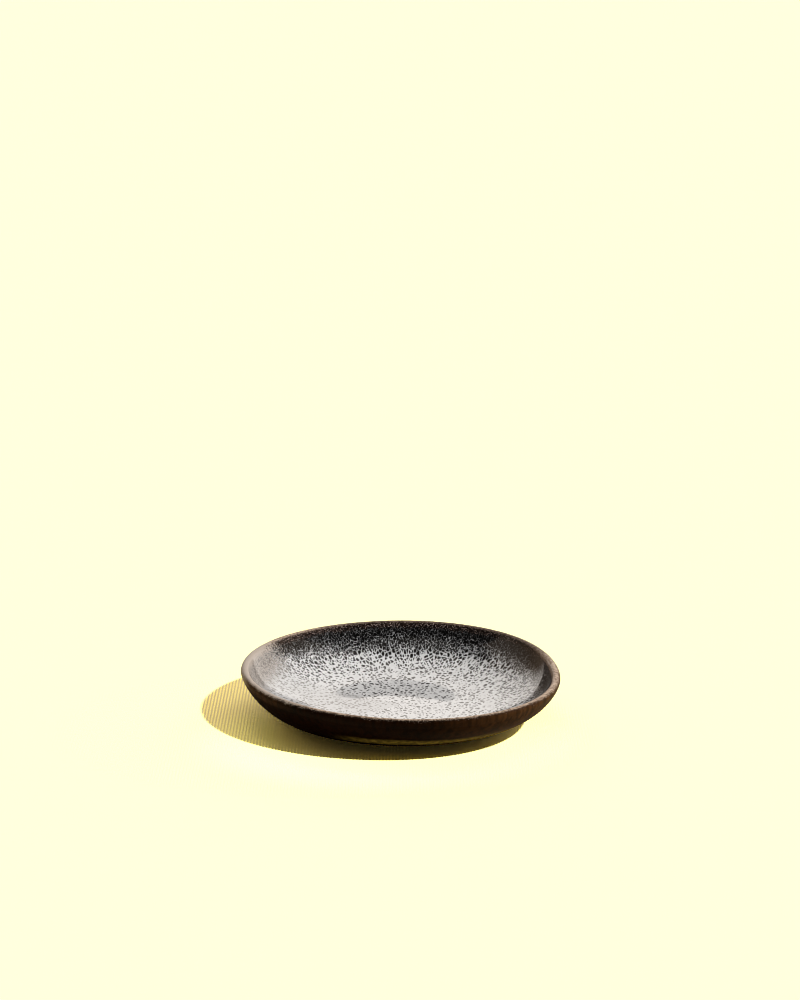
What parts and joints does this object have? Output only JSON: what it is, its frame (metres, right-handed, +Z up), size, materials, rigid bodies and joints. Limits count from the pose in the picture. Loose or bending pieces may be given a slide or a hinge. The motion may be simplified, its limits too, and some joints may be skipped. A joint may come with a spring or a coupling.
{
  "type": "soy sauce dish",
  "caption": "Small low stoneware dish with a slightly uneven round rim, rounded lip, shallow glossy speckled well and a bare foot ring.",
  "frame": {"origin": "on the table surface, under the middle of the rim", "axes": "+Z up out of the well, +X to the right and +Y away from the viewer in the pictured view"},
  "size_m": [0.1072, 0.1123, 0.0183],
  "materials": {
    "clay": "matte",
    "foot_clay": "matte, ground",
    "dark_glaze": "glossy",
    "rust_glaze": "satin",
    "speckled_glaze": "glossy"
  },
  "bodies": {
    "root": {"clay_body": "clay", "foot_ring": "foot_clay", "outside_glaze": "dark_glaze", "rim_glaze": "rust_glaze", "inside_glaze": "speckled_glaze", "underside_glaze": "dark_glaze"}
  },
  "joints": []
}
